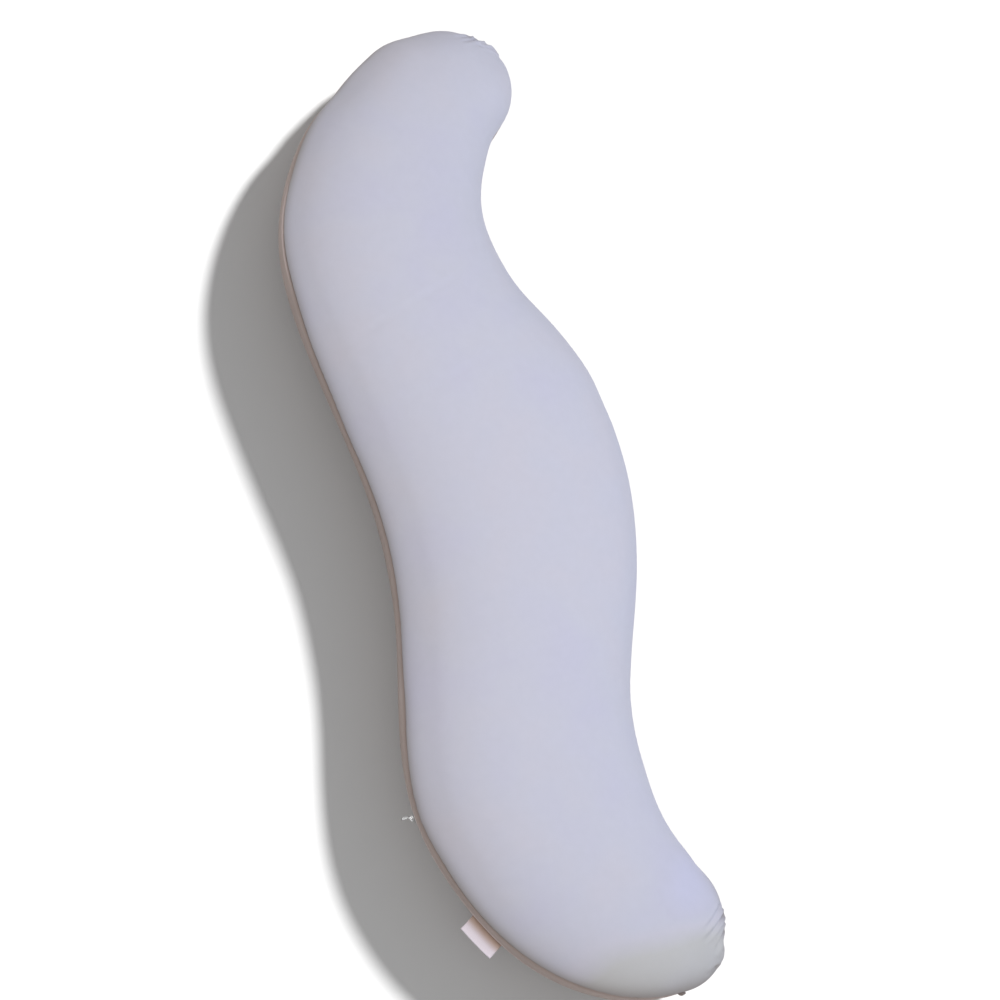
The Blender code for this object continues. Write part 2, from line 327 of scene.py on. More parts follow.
def fullness(points, normals):  # how far the swollen filling stands out of the drawn form
    tree = swollenFilling()
    probe = filling["probe"]
    found = np.zeros(points.shape[:2])
    for i, j in np.ndindex(found.shape):
        normal = Vector(normals[i, j])
        hit = tree.ray_cast(Vector(points[i, j]) + normal * probe, -normal, 2 * probe)
        if hit[0] is not None:
            found[i, j] = probe - hit[3]
    for _ in range(filling["softening"]):
        found = (np.roll(found, 1, 1) + 2 * found + np.roll(found, -1, 1)) / 4
        found[1:-1] = (found[:-2] + 2 * found[1:-1] + found[2:]) / 4
    found -= np.median(found)
    return filling["follows"] * np.tanh(found / (2 * filling["follows"]))


# Folds, gathers and puckers, each a soft trough or ridge

gathers = {
    "sharpness": 0.0034,      # half width of a gather's trough
    "fading": 0.6,            # below 1 keeps a gather deep for longer
    "puff": 0.5,              # the rise beside a trough, as a share of its depth
    "puffAt": 2.4,            # where it stands and how broad it is, in trough widths
    "puffSpread": 1.1,
    "wander": 0.0008,         # how far a trough strays from its line
    "wanderWaves": (90, 70),  # in x and y, radians for each metre
    "wanderShift": 2.1,       # from one gather to the next
}
Gather = namedtuple("Gather", "fromX fromY toX toY bow depth width")
gatherLines = (  # seen from above: from the seam towards the crown, bow is how far it curves aside
    Gather(0.126, 0.692, 0.095, 0.682, 0.0008, 0.0032, 0.9),
    Gather(0.148, 0.688, 0.099, 0.676, 0.0008, 0.0058, 0.75),
    Gather(0.148, 0.675, 0.122, 0.668, 0.0000, 0.0014, 1.0),
    Gather(0.163, 0.664, 0.125, 0.669, -0.0012, 0.0060, 0.75),
    Gather(0.160, -0.607, 0.117, -0.630, -0.0010, 0.0030, 0.7),
    Gather(0.170, -0.620, 0.111, -0.644, -0.0008, 0.0050, 0.75),
    Gather(0.169, -0.640, 0.131, -0.663, 0.0004, 0.0044, 0.75),
    Gather(0.152, -0.668, 0.132, -0.677, 0.0030, 0.0022, 0.9),
    Gather(0.138, -0.686, 0.114, -0.690, 0.0020, 0.0030, 0.9),
)

Swell = namedtuple("Swell", "x y out reach")
swells = (  # seen from above: where the cloth stands fuller or slacker than its plain form
    Swell(-0.089, 0.642, -0.0040, 0.035),
    Swell(0.004, 0.690, 0.0064, 0.036),
    Swell(0.124, 0.698, -0.0032, 0.024),
    Swell(0.145, 0.687, -0.0042, 0.016),
    Swell(0.165, 0.662, -0.0034, 0.012),
    Swell(0.163, 0.592, 0.0042, 0.042),
    Swell(0.090, 0.300, -0.0030, 0.050),
    Swell(0.162, 0.172, 0.0028, 0.050),
    Swell(0.107, -0.283, -0.0024, 0.050),
    Swell(0.101, -0.397, 0.0028, 0.050),
    Swell(0.156, -0.550, -0.0034, 0.024),
    Swell(0.169, -0.618, -0.0012, 0.014),
    Swell(0.150, -0.676, 0.0034, 0.014),
    Swell(0.166, -0.648, -0.0034, 0.014),
    Swell(0.121, -0.700, 0.0032, 0.026),
    Swell(0.098, -0.707, 0.0008, 0.022),
)

Tint = namedtuple("Tint", "x y reach share")
tints = (  # seen from above: where the top cloth is greyer, below 0, or more lilac, above 0; the greyer spots round the broad end are painted shade, the duller tone the cloth shows where it turns from the light
    Tint(-0.030, -0.680, 0.045, -1.0),
    Tint(0.030, -0.690, 0.045, -1.0),
    Tint(0.090, -0.695, 0.045, -1.0),
    Tint(0.145, -0.680, 0.040, -1.0),
    Tint(0.000, -0.650, 0.040, -0.4),
    Tint(0.060, -0.655, 0.040, -0.6),
    Tint(0.120, -0.655, 0.040, -0.7),
    Tint(0.108, -0.566, 0.050, 0.8),
)

creases = {
    "spread": 0.0036,
    "ridge": 0.45,            # the ridge beside a crease, as a share of its depth
    "ridgeAt": 1.6,           # in crease widths
    "ridgeReach": 2.6,
    "blunt": 0.04,            # how much of a crease's depth is kept at its ends
}
Crease = namedtuple("Crease", "fromX fromY toX toY bow depth")
creaseLines = (  # faint folds across the back, shallow troughs beside shallow ridges
    Crease(-0.168, 0.272, -0.092, 0.299, 0.000, 0.0011),
    Crease(-0.100, 0.296, -0.018, 0.325, 0.001, 0.0012),
    Crease(-0.020, 0.326, -0.004, 0.300, -0.003, 0.0009),
    Crease(-0.145, 0.164, -0.072, 0.186, 0.000, 0.0008),
    Crease(-0.080, 0.184, 0.004, 0.209, 0.001, 0.0011),
    Crease(0.000, 0.209, 0.030, 0.222, -0.001, 0.0008),
    Crease(0.009, 0.182, -0.031, 0.160, 0.002, 0.0006),
    Crease(0.022, 0.196, 0.052, 0.176, 0.000, 0.0005),
    Crease(-0.084, -0.217, 0.052, -0.249, 0.000, 0.0005),
    Crease(-0.120, 0.470, -0.030, 0.520, 0.000, 0.0004),
)

seam = {
    "groove": 0.0014,         # how deep the two cloths turn in at the seam
    "grooveSpread": 0.0034,
    "shoulder": 0.0007,       # the soft lip on either side
    "shoulderAt": 0.0085,
    "shoulderSpread": 0.0050,
    "pucker": 0.00060,
    "puckerReach": 0.011,
    "puckerPitch": 0.0125,
    "waver": 0.0011,          # how far the seam line strays up and down
    "waverReach": 0.030,
    "waverPitch": 0.034,
    "waverSlow": 0.31,        # its waves are this much slower than their pitch
    "otherSide": 0.37,        # puts the right seam's waves out of step with the left's
}

flankSeam = {
    "height": 0.057,          # where the zip and the label come out of the left flank
    "from": 0.98, "to": 1.40, # along the cushion
    "fade": 0.050,
    "depth": 0.0016,
    "spread": 0.0028,
    "weltHeight": 0.0725,     # the cloth's ridge above it, coloured lighter as a painted highlight
    "welt": 0.0009,
    "weltSpread": 0.0024,
    "weltFrom": 1.10, "weltTo": 1.43,
    "tuckedRidge": 0.0010,    # the ridge just under the seam, on a short stretch, coloured lighter as a painted highlight
    "tuckedAt": 0.0034, "tuckedSpread": 0.0020,
    "tuckedFrom": 0.27, "tuckedTo": 0.45,
    # painted highlight: how much lighter the underside cloth is coloured on both ridges
    "paintedRidgeHighlight": 0.42,
}

FlankMark = namedtuple("FlankMark", "place drawn")
leftFlank = (  # metres along, and how far the lower cloth is drawn in there under its seam
    FlankMark(0.00, 0.0), FlankMark(0.38, 0.0), FlankMark(0.46, 0.0018), FlankMark(0.78, 0.0018),
    FlankMark(0.86, 0.0010), FlankMark(1.10, 0.0010), FlankMark(1.16, 0.0), FlankMark(1.20, 0.0006),
    FlankMark(1.26, 0.0050), FlankMark(1.30, 0.0050), FlankMark(1.36, 0.0020), FlankMark(1.42, 0.0),
    FlankMark(1.56, 0.0),
)
flankDraw = {"start": 0.008, "end": 0.060}  # distances below the seam

unevenness = {
    "size": 0.00035,
    "pitch": 0.31,
    "lean": 0.4775,           # of the waves along x
    "longer": 1.4,            # the waves along y, in pitches
    "shift": 1.3,
    "slantSize": 0.6,         # and the waves along both, as shares of the above
    "slantPitch": 0.63,
}

ripples = {  # sizes are shares of the first wave, pitches are metres
    "wobble": 2.3, "wobblePitch": 0.113,
    "second": 0.6, "secondLonger": 1.73, "secondWobble": 1.9, "secondPitch": 0.071,
    "calm": 0.55, "lively": 0.45, "livelyPitch": 0.291,
}

planMiddle = np.array(form["middle"])[:2]


def wave(value, pitch):
    return np.sin(2 * math.pi * value / pitch)


def bell(value, middle, spread):  # 1 at its middle, falling off softly on both sides
    return np.exp(-((value - middle) / spread) ** 2)


def unevenOut(points):  # slow and slight, all over the cloth
    turn = 2 * math.pi / unevenness["pitch"]
    x, y = points[..., 0] * turn, points[..., 1] * turn
    waves = np.sin(x + unevenness["lean"] * y) * np.sin(y / unevenness["longer"] + unevenness["shift"])
    slanting = unevenness["slantSize"] * np.sin((x + y) / unevenness["slantPitch"])
    return unevenness["size"] * (waves + slanting)


def lineTrough(points, line, width):  # in widths: how far from a bowed line, its share, which side
    start = np.array([line.fromX, line.fromY]) + planMiddle
    run = np.array([line.toX, line.toY]) + planMiddle - start
    size = np.linalg.norm(run)
    offset = points[..., :2] - start
    went = offset @ run / size
    share = np.clip(went / size, 0, 1)
    side = (run[0] * offset[..., 1] - run[1] * offset[..., 0]) / size
    side = side - line.bow * 4 * share * (1 - share)
    return np.hypot(side, went - share * size) / width, share, side / width


def gatherDepth(points):
    depth = np.zeros(points.shape[:2])
    for number, line in enumerate(gatherLines):
        bend = gathers["wander"] * np.sin(
            number * gathers["wanderShift"] + points[..., :2] @ np.array(gathers["wanderWaves"]))
        moved = points[..., :2] + np.stack([bend, -bend], -1)
        away, share, _ = lineTrough(moved, line, gathers["sharpness"] * line.width)
        puff = gathers["puff"] * bell(away, gathers["puffAt"], gathers["puffSpread"])
        depth += line.depth * (1 - share) ** gathers["fading"] * (bell(away, 0, 1) - puff)
    return depth


def creaseDepth(points):
    depth = np.zeros(points.shape[:2])
    for line in creaseLines:
        away, share, side = lineTrough(points, line, creases["spread"])
        fade = np.sqrt(np.sin(math.pi * np.clip(share, creases["blunt"], 1 - creases["blunt"])))
        ridge = creases["ridge"] * bell(side, creases["ridgeAt"], 1)
        ridge *= bell(np.maximum(away, creases["ridgeReach"]), creases["ridgeReach"], 1)
        depth += line.depth * fade * (bell(away, 0, 1) - ridge)
    return depth


def ripple(place, pitch):  # uneven waves along the cushion, the same at every run
    turn = 2 * math.pi / pitch
    waves = np.sin(turn * place + ripples["wobble"] * wave(place, ripples["wobblePitch"]))
    wobble = ripples["secondWobble"] * wave(place, ripples["secondPitch"])
    waves = waves + ripples["second"] * np.sin(turn * place / ripples["secondLonger"] + wobble)
    swell = np.sin(2 * math.pi * place / ripples["livelyPitch"] + 1)
    swell = ripples["calm"] + ripples["lively"] * swell
    return waves * swell / (1 + ripples["second"])


# Painted shade: the cloth is coloured darker and greyer where it turns away from the light, beside the
# seams and round the tips
PaintedRimMark = namedtuple("PaintedRimMark", "place share reach")
paintedRimMarks = (  # painted shade: how strongly, and how far in from the seam, the top cloth is coloured greyer
    PaintedRimMark(0.00, 1.00, 0.028), PaintedRimMark(0.24, 1.00, 0.024), PaintedRimMark(0.36, 0.80, 0.018),
    PaintedRimMark(1.02, 0.80, 0.018), PaintedRimMark(1.14, 0.95, 0.021), PaintedRimMark(1.40, 0.95, 0.022),
    PaintedRimMark(1.50, 1.00, 0.036), PaintedRimMark(1.56, 1.00, 0.048),
)
paintedRim = {
    "lowerReach": 0.005,      # the painted shade's reach on the underside cloth, beside its seam
    "closeReach": 0.0080,     # painted shade, darker still right beside the seam
    "closeShare": 0.40,
    "start": 90, "full": 140, # degrees round to the left flank
    "tip": 0.055,             # painted shade greys the whole broad tip from here on
}


def span(value, start, full):  # 0 at start, 1 at full, straight between them
    return np.clip((value - start) / (full - start), 0, 1)


def paintedRimShades(place, angle, distance, above):  # painted shade: most at the left seam and the tips, less inwards
    at, shares, reaches = zip(*paintedRimMarks)
    share, reach = (np.interp(place, at, values)[:, None] for values in (shares, reaches))
    tip = span(length - place, 2 * paintedRim["tip"], paintedRim["tip"])[:, None]
    left = np.maximum(span(angle, paintedRim["start"], paintedRim["full"]), tip)
    top = left * (share * bell(distance, 0, reach)
                  + paintedRim["closeShare"] * bell(distance, 0, paintedRim["closeReach"]))
    return np.minimum(np.where(above, top, bell(distance, 0, paintedRim["lowerReach"])), 1)


def spot(points, mark):  # a soft round spot seen from above: 1 at its middle, falling off round it
    away = points[..., :2] - planMiddle - np.array([mark.x, mark.y])
    return np.exp(-(away ** 2).sum(-1) / mark.reach ** 2)


def flankStretch(place, first, last):  # 1 on a stretch of the flank, fading out at its ends
    start, end, fade = flankSeam[first], flankSeam[last], flankSeam["fade"]
    return (span(place, start, start + fade) * span(place, end, end - fade))[:, None]


calm = {
    "floor": 0.03,            # the cloth moves less and less below this height
    "tip": 0.05,              # and its puckers less this near a tip
    "under": 0.012,           # how soon a gather ends on the underside cloth
}


def dressedPoints():  # the cloth's outside: form, fullness, then every fold on it
    place = ringPlaces()
    angle = stepAngles(place)
    points = skinPoints(place, angle)
    normals = outwardNormals(points)
    distance = seamDistances(points)
    step = np.arange(points.shape[1])
    above = step < mesh["topSteps"]
    left = ~above & (angle < 270)
    free = span(points[..., 2], 0, calm["floor"])
    body = span(np.minimum(place, length - place), 0, calm["tip"])[:, None]
    away = fullness(points, normals)
    print("filling swollen")

    away = away + unevenOut(points) + sum(swell.out * spot(points, swell) for swell in swells)
    away = away - gatherDepth(points) * np.exp(-np.where(above, 0, distance) / calm["under"])
    away = away - creaseDepth(points) * above
    away = away - seam["groove"] * bell(distance, 0, seam["grooveSpread"])
    away = away + seam["shoulder"] * bell(distance, seam["shoulderAt"], seam["shoulderSpread"])
    sides = seam["otherSide"] * (step < mesh["topSteps"] / 2)
    puckers = ripple(place[:, None] + sides, seam["puckerPitch"]) * body
    away = away + seam["pucker"] * puckers * np.exp(-distance / seam["puckerReach"])

    height = points[..., 2]
    fold = bell(height, flankSeam["height"], flankSeam["spread"]) * flankStretch(place, "from", "to")
    welt = bell(height, flankSeam["weltHeight"], flankSeam["weltSpread"])
    welt = welt * flankStretch(place, "weltFrom", "weltTo") * left
    tucked = bell(distance, flankSeam["tuckedAt"], flankSeam["tuckedSpread"])
    tucked = tucked * flankStretch(place, "tuckedFrom", "tuckedTo") * left
    away = away - flankSeam["depth"] * fold * left
    away = away + flankSeam["welt"] * welt + flankSeam["tuckedRidge"] * tucked
    drawn = np.interp(place, *zip(*leftFlank))[:, None] * left
    drawn = drawn * (1 - bell(distance, 0, flankDraw["start"]))
    away = away - drawn * np.exp(-(distance / flankDraw["end"]) ** 4)

    points = points + normals * (away * free)[..., None]
    strays = ripple(place[:, None] * seam["waverSlow"] + sides, seam["waverPitch"]) * body
    points[..., 2] += seam["waver"] * strays * np.exp(-distance / seam["waverReach"])
    points[..., 2] = np.maximum(points[..., 2], 0)
    tint = np.clip(sum(mark.share * spot(points, mark) for mark in tints), -1, 1) / 2
    # painted highlight on the underside's ridges, carried in the tint attribute
    ridges = np.maximum(welt, tucked)
    # painted shade beside the seams and round the tips, kept off the lit ridges
    paintedRimShade = paintedRimShades(place, angle, distance, above) * (1 - ridges)
    return points, place, {"paintedRimShade": paintedRimShade,
                           "tint": np.where(above, tint, flankSeam["paintedRidgeHighlight"] * ridges)}


# Cloth pieces from the dressed points

clothLayer = {
    "thickness": 0.0014,      # of the underside cloth
    "clearance": 0.0022,      # from its outside to the filling
    "flat": (0.46, 1.58),     # the panel's cut, in a rectangle
    "flatArea": 0.68,
    "lip": 0.0003,            # its edge lies this much under the top cloth's
    "weld": 0.000001,
}


def fillShell(bm, points, first, last, stride, runs, place, shades):
    picked = np.arange(first, last + 1, stride)
    if picked[-1] != last:
        picked = np.append(picked, last)
    steps, rings, around = len(picked) - 1, points.shape[0] - 1, points.shape[1]
    vectors, floats = bm.verts.layers.float_vector, bm.verts.layers.float
    for layers, name in ((vectors, "run"), *((floats, name) for name in shades)):
        if name not in layers:
            layers.new(name)
    grid = bmesh.ops.create_grid(bm, x_segments=rings, y_segments=steps, size=0.5)
    for vert in grid["verts"]:
        i = round((vert.co.x + 0.5) * rings)
        j = picked[round((vert.co.y + 0.5) * steps)]
        vert.co = points[i, j % around]
        vert[vectors["run"]] = (place[i], runs[i, j - first], 0)
        for name in shades:
            vert[floats[name]] = shades[name][i, j % around]


def writeRuns(bm, runs):  # the cloth's UV map, in metres
    uvLayer = bm.loops.layers.uv.new("ClothRun")
    for face in bm.faces:
        for loop in face.loops:
            loop[uvLayer].uv = runs[loop.vert]


def closeShells(bm):
    bmesh.ops.remove_doubles(bm, verts=bm.verts, dist=clothLayer["weld"])
    rims = [edge for edge in bm.edges if edge.is_boundary]
    bmesh.ops.bridge_loops(bm, edges=rims)
    bmesh.ops.recalc_face_normals(bm, faces=bm.faces)
    runLayer = bm.verts.layers.float_vector["run"]
    writeRuns(bm, {vert: vert[runLayer][:2] for vert in bm.verts})


def makeCushion(points, normals, place, shades, material):
    top, around = mesh["topSteps"], points.shape[1]
    bm = bmesh.new()
    fillShell(bm, points, 0, top, 1, clothRuns(points, 0, top), place, shades)
    inside = points - normals * clothLayer["clearance"]
    fillShell(bm, inside, top, around, mesh["hiddenStride"],
              clothRuns(inside, top, around), place, shades)
    closeShells(bm)
    item = finishedObject("cushion_top", bm, material)
    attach(item, "root")
    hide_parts("pillow")
    print("cushion made,", len(item.data.polygons), "faces")
    return item


def makeUnderside(points, normals, place, shades, material):
    top, around = mesh["topSteps"], points.shape[1]
    lowered = points.copy()
    lowered[:, [0, top], 2] -= clothLayer["lip"]
    bm = bmesh.new()
    fillShell(bm, lowered, top, around, 1, clothRuns(points, top, around), place, shades)
    inside = lowered - normals * clothLayer["thickness"]
    fillShell(bm, inside, top, around, mesh["hiddenStride"],
              clothRuns(inside, top, around), place, shades)
    closeShells(bm)
    item = finishedObject("underside_cloth", bm, material)
    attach(item, "root")
    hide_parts("underside_panel")
    print("underside cloth made,", len(item.data.polygons), "faces")
    return item


# Materials: each surface's colour, knit or grain from nodes

def newMaterial(name, roughness, metallic=0.0, sheen=0.0, sheenTint=(1, 1, 1), specular=0.4):
    material = bpy.data.materials.new(name)
    material.use_nodes = True
    shader = material.node_tree.nodes["Principled BSDF"]
    shader.inputs["Roughness"].default_value = roughness
    shader.inputs["Metallic"].default_value = metallic
    shader.inputs["Specular IOR Level"].default_value = specular
    shader.inputs["Sheen Weight"].default_value = sheen
    shader.inputs["Sheen Roughness"].default_value = 0.45
    shader.inputs["Sheen Tint"].default_value = (*sheenTint, 1)
    return material, material.node_tree, shader


def addNode(tree, kind, values=None, links=None, **settings):
    node = tree.nodes.new(kind)
    for key, value in settings.items():
        setattr(node, key, value)
    for key, value in (values or {}).items():
        node.inputs[key].default_value = value
    for key, source in (links or {}).items():
        tree.links.new(source, node.inputs[key])
    return node


def addRamp(tree, source, stops):
    ramp = addNode(tree, "ShaderNodeValToRGB", links={"Fac": source})
    elements = ramp.color_ramp.elements
    while len(elements) < len(stops):
        elements.new(0.5)
    for element, (position, colour) in zip(elements, stops):
        element.position = position
        element.color = (*colour, 1)
    return ramp.outputs["Color"]


def addNoise(tree, vector, scale, detail=3.0, rough=0.55):
    return addNode(tree, "ShaderNodeTexNoise", {"Scale": scale, "Detail": detail, "Roughness": rough},
                   {"Vector": vector}).outputs["Fac"]


def addMath(tree, operation, *values):
    node = tree.nodes.new("ShaderNodeMath")
    node.operation = operation
    for socket, value in zip(node.inputs, values):
        if isinstance(value, (int, float)):
            socket.default_value = value
        else:
            tree.links.new(value, socket)
    return node.outputs[0]


knit = {
    "wale": 0.0011,           # metres from one column of stitches to the next
    "course": 0.0009,
    "slant": 2.2,             # radians, from a column's middle to its edge
    "depth": 0.35,            # of the loops in their column
    "relief": 0.00006,
    "bump": 0.6,
    "fibreScale": 420.0,
    "fibreRelief": 0.00010,
    "fibreBump": 0.5,
    "fineScale": 70.0,        # of the specks and the roughness
    "broadScale": 8.0,        # of the slow drift through the shades
    "drift": 0.5,
    "roughSpread": 0.06,
}


def addKnit(tree, uv):  # columns of small v-shaped stitches, 0 to 1
    run = addNode(tree, "ShaderNodeSeparateXYZ", links={"Vector": uv})
    wales = addMath(tree, "MULTIPLY", run.outputs["Y"], math.pi / knit["wale"])
    column = addMath(tree, "ABSOLUTE", addMath(tree, "SINE", wales))
    slant = addMath(tree, "MULTIPLY", column, knit["slant"])
    courses = addMath(tree, "MULTIPLY", run.outputs["X"], 2 * math.pi / knit["course"])
    loops = addMath(tree, "SINE", addMath(tree, "ADD", courses, slant))
    loops = addMath(tree, "MULTIPLY_ADD", loops, knit["depth"], 1 - knit["depth"])
    return addMath(tree, "MULTIPLY", loops, column)


def addBump(tree, height, strength, relief):
    return addNode(tree, "ShaderNodeBump", {"Strength": strength, "Distance": relief},
                   {"Height": height})


def mixColours(tree, kind, factor, first, second):  # first and second are colours or sockets
    mix = addNode(tree, "ShaderNodeMix", data_type="RGBA", blend_type=kind)
    for socket, value in ((mix.inputs[0], factor), (mix.inputs[6], first), (mix.inputs[7], second)):
        if isinstance(value, bpy.types.NodeSocket):
            tree.links.new(value, socket)
        else:
            socket.default_value = value
    return mix.outputs[2]


def clothMaterial(name, look):
    material, tree, shader = newMaterial(
        name, look["roughness"], sheen=look["sheen"], sheenTint=look["sheenTint"], specular=0.25)
    coords = addNode(tree, "ShaderNodeTexCoord")
    uv, at = coords.outputs["UV"], coords.outputs["Object"]
    tint = addNode(tree, "ShaderNodeAttribute", attribute_name="tint").outputs["Fac"]
    paintedShadeNearRim = addNode(tree, "ShaderNodeAttribute", attribute_name="paintedRimShade").outputs["Fac"]
    broad = addNoise(tree, at, knit["broadScale"], 2.0)
    broad = addMath(tree, "MULTIPLY_ADD", broad, knit["drift"], (1 - knit["drift"]) / 2)
    # tint: grey and lilac spots on the top cloth, painted highlight on the underside's ridges
    shade = addRamp(tree, addMath(tree, "ADD", broad, tint), look["shades"])
    # painted shade: the rim colour is mixed in beside the seams and round the tips
    shade = mixColours(tree, "MIX", paintedShadeNearRim, shade, (*look["paintedRim"], 1))
    fine = addNoise(tree, at, knit["fineScale"], 4.0, 0.6)
    speck = look["mottle"]
    specks = addRamp(tree, fine, ((0.3, (1 - speck,) * 3), (0.7, (1 + speck,) * 3)))
    tree.links.new(mixColours(tree, "MULTIPLY", 1.0, shade, specks), shader.inputs["Base Color"])
    low, high = look["roughness"] - knit["roughSpread"], look["roughness"] + knit["roughSpread"]
    rough = addNode(tree, "ShaderNodeMapRange", {"To Min": low, "To Max": high}, {"Value": fine})
    tree.links.new(rough.outputs["Result"], shader.inputs["Roughness"])
    stitches = addBump(tree, addKnit(tree, uv), knit["bump"], knit["relief"])
    fuzz = addNoise(tree, at, knit["fibreScale"])
    fibres = addBump(tree, fuzz, knit["fibreBump"], knit["fibreRelief"])
    tree.links.new(stitches.outputs["Normal"], fibres.inputs["Normal"])
    tree.links.new(fibres.outputs["Normal"], shader.inputs["Normal"])
    return material


lilacJersey = {  # shades go from greyer to more lilac, and the rim colour is painted shade beside the seam
    "shades": ((0.00, (0.474, 0.462, 0.458)), (0.40, (0.510, 0.492, 0.552)),
               (0.50, (0.500, 0.491, 0.560)), (0.60, (0.492, 0.480, 0.566)),
               (1.00, (0.498, 0.494, 0.635))),
    "paintedRim": (0.270, 0.242, 0.232),
    "mottle": 0.012, "roughness": 0.80, "sheen": 0.04, "sheenTint": (0.93, 0.94, 1.0),
}
blushJersey = {  # from darker to lighter; the lightest stop is a painted highlight for the flank's ridges, and the rim colour is painted shade beside the seam
    "shades": ((0.00, (0.350, 0.300, 0.280)), (0.42, (0.370, 0.302, 0.278)),
               (0.50, (0.375, 0.305, 0.280)), (0.58, (0.390, 0.320, 0.297)),
               (1.00, (0.640, 0.530, 0.510))),
    "paintedRim": (0.335, 0.265, 0.240),
    "mottle": 0.015, "roughness": 0.80, "sheen": 0.03, "sheenTint": (1.0, 0.92, 0.88),
}
# painted shade: the pink underside cloth coloured dark, as the bunched tuck looks in shade
paintedShadeJersey = {
    "shades": ((0.00, (0.190, 0.155, 0.140)), (0.50, (0.215, 0.175, 0.160)),
               (1.00, (0.235, 0.195, 0.175))),
    "paintedRim": (0.20, 0.17, 0.15),
    "mottle": 0.02, "roughness": 0.85, "sheen": 0.02, "sheenTint": (1.0, 0.92, 0.88),
}
labelSatin = {
    "colour": (0.95, 0.86, 0.94), "rib": 0.0006, "relief": 0.00005, "roughness": 0.55, "sheen": 0.1,
    "root": (0.58, 0.42, 0.34),            # painted shade with a warm painted reflection from the pink cloth, where it is sewn in under the flank's bulge
    "rootFrom": 0.004, "rootTo": 0.018,    # metres along the strip, over which the painted shade fades out
}
zipTwill = {
    "colour": (0.45, 0.36, 0.34), "rib": 0.0005, "relief": 0.00008, "roughness": 0.8, "sheen": 0.1,
}
zipCoil = {
    "colour": (0.50, 0.42, 0.40), "rib": 0.0004, "relief": 0.00004, "roughness": 0.5, "sheen": 0.0,
}
weaveDark = 0.86  # the shade between the threads
weaveBump = 0.7
zipMetal = {"roughness": 0.35, "metallic": 0.85, "wear": 900.0, "roughFrom": 0.26, "roughTo": 0.46}


def tapeMaterial(name, look):  # woven: ribs across, threads along
    material, tree, shader = newMaterial(name, look["roughness"], sheen=look["sheen"])
    uv = addNode(tree, "ShaderNodeTexCoord").outputs["UV"]
    fine = 1 / look["rib"] / math.pi
    ribs = addNode(tree, "ShaderNodeTexWave", {"Scale": fine / 2, "Distortion": 0.3, "Detail": 1.0},
                   {"Vector": uv}, bands_direction="Y")
    threads = addNode(tree, "ShaderNodeTexWave", {"Scale": fine, "Distortion": 0.2, "Detail": 1.0},
                      {"Vector": uv}, bands_direction="X")
    weave = addMath(tree, "MULTIPLY", ribs.outputs["Fac"], threads.outputs["Fac"])
    darker = tuple(channel * weaveDark for channel in look["colour"])
    shade = addRamp(tree, weave, ((0.1, darker), (0.6, look["colour"])))
    # painted shade at the label's root: darker and warmer near where it is sewn in
    if "root" in look:
        run = addNode(tree, "ShaderNodeSeparateXYZ", links={"Vector": uv}).outputs["Y"]
        fall = addNode(tree, "ShaderNodeMapRange",
                       {"From Min": look["rootFrom"], "From Max": look["rootTo"]},
                       {"Value": run}, interpolation_type="SMOOTHSTEP")
        shade = mixColours(tree, "MIX", fall.outputs["Result"], (*look["root"], 1), shade)
    tree.links.new(shade, shader.inputs["Base Color"])
    bump = addBump(tree, weave, weaveBump, look["relief"])
    tree.links.new(bump.outputs["Normal"], shader.inputs["Normal"])
    return material


def metalMaterial(name, dull, bright):
    material, tree, shader = newMaterial(name, zipMetal["roughness"], zipMetal["metallic"])
    at = addNode(tree, "ShaderNodeTexCoord").outputs["Object"]
    wear = addNoise(tree, at, zipMetal["wear"], 4.0)
    tree.links.new(addRamp(tree, wear, ((0.35, (dull,) * 3), (0.65, (bright,) * 3))),
                   shader.inputs["Base Color"])
    rough = addNode(tree, "ShaderNodeMapRange",
                    {"To Min": zipMetal["roughFrom"], "To Max": zipMetal["roughTo"]}, {"Value": wear})
    tree.links.new(rough.outputs["Result"], shader.inputs["Roughness"])
    return material


# What is sewn on along the left flank

def flankFrame(place, turnedBy=0):  # the spine's point, and the level ways out of and along the flank
    section = sectionAt(place)
    turn = math.radians(float(section.turn) + turnedBy)
    outward = Vector((-math.cos(turn), -math.sin(turn), 0))
    middle = Vector((float(section.x), float(section.y), 0)) + form["middle"]
    return middle, outward, Vector((0, 0, 1)).cross(outward)


def flankHit(tree, place, run, height, turnedBy=0):  # where a level line meets the left flank
    middle, outward, forward = flankFrame(place, turnedBy)
    start = middle + outward * 0.5 + forward * run + Vector((0, 0, height))
    return tree.ray_cast(start, -outward)[:2]


label = {
    "place": 1.274,
    "turn": 18,               # degrees, so that it stands square to the flank there
    "width": 0.058,
    "reach": 0.0250,
    "cloth": 0.00045,
    "gap": 0.0007,            # between its two layers, at the fold
    "droop": 0.0030,
    "curl": 0.0009,           # how much its corners lift
    "wave": 0.0004, "waveTurns": 3.1, "waveShift": 1.2,
    "pressed": 0.35,          # how near its layers are where they are sewn
    "sewnIn": 0.0006,
    "alongSteps": 36,
    "pathSteps": 44,
}


